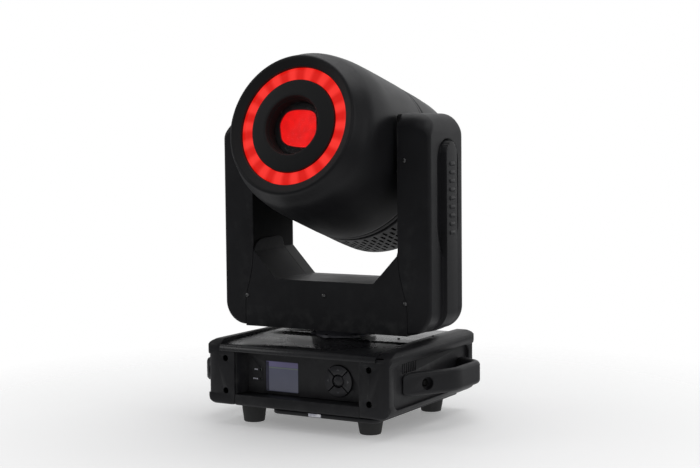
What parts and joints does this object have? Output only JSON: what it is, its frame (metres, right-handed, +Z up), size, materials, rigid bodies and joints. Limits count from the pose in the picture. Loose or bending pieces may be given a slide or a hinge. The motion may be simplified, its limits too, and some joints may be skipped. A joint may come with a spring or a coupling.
{
  "type": "moving head light",
  "caption": "Stage spotlight whose barrel-shaped head tilts in a yoke that pans on a rectangular base with a lit display and side grab handles.",
  "frame": {"origin": "on the pan axis at the level of the soles of the feet, which is the middle of the box's underside", "axes": "+Z up along the pan axis, -Y towards the front with the display and the lens, +X to the right seen from the front"},
  "size_m": [0.292, 0.2556, 0.4034],
  "materials": {
    "shell_plastic": "satin black moulded plastic with a fine grain",
    "gloss_plastic": "glossy black moulded plastic",
    "panel_plastic": "matt black panel",
    "button_plastic": "satin dark grey",
    "foot_rubber": "matt black rubber",
    "frame_steel": "plated sheet steel",
    "machined_aluminium": "bare machined aluminium",
    "circuit_board": "green solder mask",
    "motor_black": "black oxide steel laminations",
    "belt_rubber": "matt black toothed rubber",
    "socket_black": "moulded black nylon",
    "screen": "lit screen behind a clear window",
    "led_pipe": "milky light pipe",
    "optical_glass": "polished and coated",
    "ring_diffuser": "milky diffuser lit from behind in red"
  },
  "bodies": {
    "base": {"base_tray": "shell_plastic", "base_top_cover": "gloss_plastic", "right_end_cover": "shell_plastic", "left_end_cover": "shell_plastic", "right_handle": "shell_plastic", "left_handle": "shell_plastic", "control_panel": "panel_plastic", "display_module": "screen", "upper_status_led": "led_pipe", "lower_status_led": "led_pipe", "control_board": "circuit_board", "power_supply": "machined_aluminium", "rear_panel": "panel_plastic", "power_inlet": "socket_black", "power_outlet": "socket_black", "data_inlet": "socket_black", "data_outlet": "socket_black", "fuse_holder": "socket_black", "front_left_foot": "foot_rubber", "rear_left_foot": "foot_rubber", "front_right_foot": "foot_rubber", "rear_right_foot": "foot_rubber", "pan_bearing_housing": "frame_steel", "pan_motor": "motor_black", "pan_belt": "belt_rubber"},
    "up_key": {"up_button": "button_plastic"},
    "down_key": {"down_button": "button_plastic"},
    "left_key": {"left_button": "button_plastic"},
    "right_key": {"right_button": "button_plastic"},
    "enter_key": {"enter_button": "button_plastic"},
    "pan_drive": {"pan_motor_pulley": "machined_aluminium"},
    "yoke": {"pan_hub": "shell_plastic", "pan_pulley": "machined_aluminium", "yoke_chassis": "frame_steel", "crosspiece_front_cover": "shell_plastic", "crosspiece_back_cover": "shell_plastic", "right_arm_cover": "shell_plastic", "left_arm_cover": "shell_plastic", "right_inner_panel": "shell_plastic", "left_inner_panel": "shell_plastic", "driver_board": "circuit_board", "tilt_motor": "motor_black", "tilt_belt": "belt_rubber"},
    "tilt_drive": {"tilt_motor_pulley": "machined_aluminium"},
    "head": {"front_shell": "shell_plastic", "rear_shell": "shell_plastic", "rear_grille": "shell_plastic", "lens_hood": "panel_plastic", "led_ring_lens": "ring_diffuser", "led_ring_board": "circuit_board", "front_lens": "optical_glass", "lamp_module": "circuit_board", "heat_sink": "machined_aluminium", "head_chassis": "frame_steel", "right_trunnion": "machined_aluminium", "left_trunnion": "machined_aluminium"},
    "focus_carriage": {"focus_lens": "optical_glass"},
    "color_disc": {"color_wheel": "machined_aluminium"},
    "gobo_disc": {"gobo_wheel": "frame_steel"},
    "fan": {"fan_rotor": "socket_black"}
  },
  "joints": [
    {"name": "pan", "type": "hinge", "parent": "base", "child": "yoke", "pos_m": [0, 0, 0.097], "axis": [0, 0, 1], "range_deg": [-270, 270]},
    {"name": "tilt", "type": "hinge", "parent": "yoke", "child": "head", "pos_m": [0, 0, 0.2975], "axis": [1, 0, 0], "range_deg": [-209.3, 60.7]},
    {"name": "pan_motor_spin", "type": "hinge", "parent": "base", "child": "pan_drive", "pos_m": [-0.056, 0, 0.0665], "axis": [0, 0, 1], "range_deg": [-1200, 1200]},
    {"name": "tilt_motor_spin", "type": "hinge", "parent": "yoke", "child": "tilt_drive", "pos_m": [0.109, 0, 0.196], "axis": [1, 0, 0], "range_deg": [-890, 258]},
    {"name": "up_press", "type": "slide", "parent": "base", "child": "up_key", "axis": [0, 1, 0], "range_m": [0, 0.0008], "stiffness_N_per_m": 400, "springref_m": -0.0005},
    {"name": "down_press", "type": "slide", "parent": "base", "child": "down_key", "axis": [0, 1, 0], "range_m": [0, 0.0008], "stiffness_N_per_m": 400, "springref_m": -0.0005},
    {"name": "left_press", "type": "slide", "parent": "base", "child": "left_key", "axis": [0, 1, 0], "range_m": [0, 0.0008], "stiffness_N_per_m": 400, "springref_m": -0.0005},
    {"name": "right_press", "type": "slide", "parent": "base", "child": "right_key", "axis": [0, 1, 0], "range_m": [0, 0.0008], "stiffness_N_per_m": 400, "springref_m": -0.0005},
    {"name": "enter_press", "type": "slide", "parent": "base", "child": "enter_key", "axis": [0, 1, 0], "range_m": [0, 0.0008], "stiffness_N_per_m": 400, "springref_m": -0.0005},
    {"name": "focus", "type": "slide", "parent": "head", "child": "focus_carriage", "axis": [0, -0.9627, 0.2706], "range_m": [0, 0.014]},
    {"name": "color_spin", "type": "hinge", "parent": "head", "child": "color_disc", "pos_m": [-0.034, 0.02311, 0.29101], "axis": [0, -0.9627, 0.2706], "continuous": true},
    {"name": "gobo_spin", "type": "hinge", "parent": "head", "child": "gobo_disc", "pos_m": [0.034, 0.01155, 0.29425], "axis": [0, -0.9627, 0.2706], "continuous": true},
    {"name": "fan_spin", "type": "hinge", "parent": "head", "child": "fan", "pos_m": [0, 0.09531, 0.27071], "axis": [0, -0.9627, 0.2706], "continuous": true}
  ],
  "couplings": [
    {"joint": "pan_motor_spin", "follows": "pan", "ratio": 4.4444},
    {"joint": "tilt_motor_spin", "follows": "tilt", "ratio": 4.25}
  ]
}
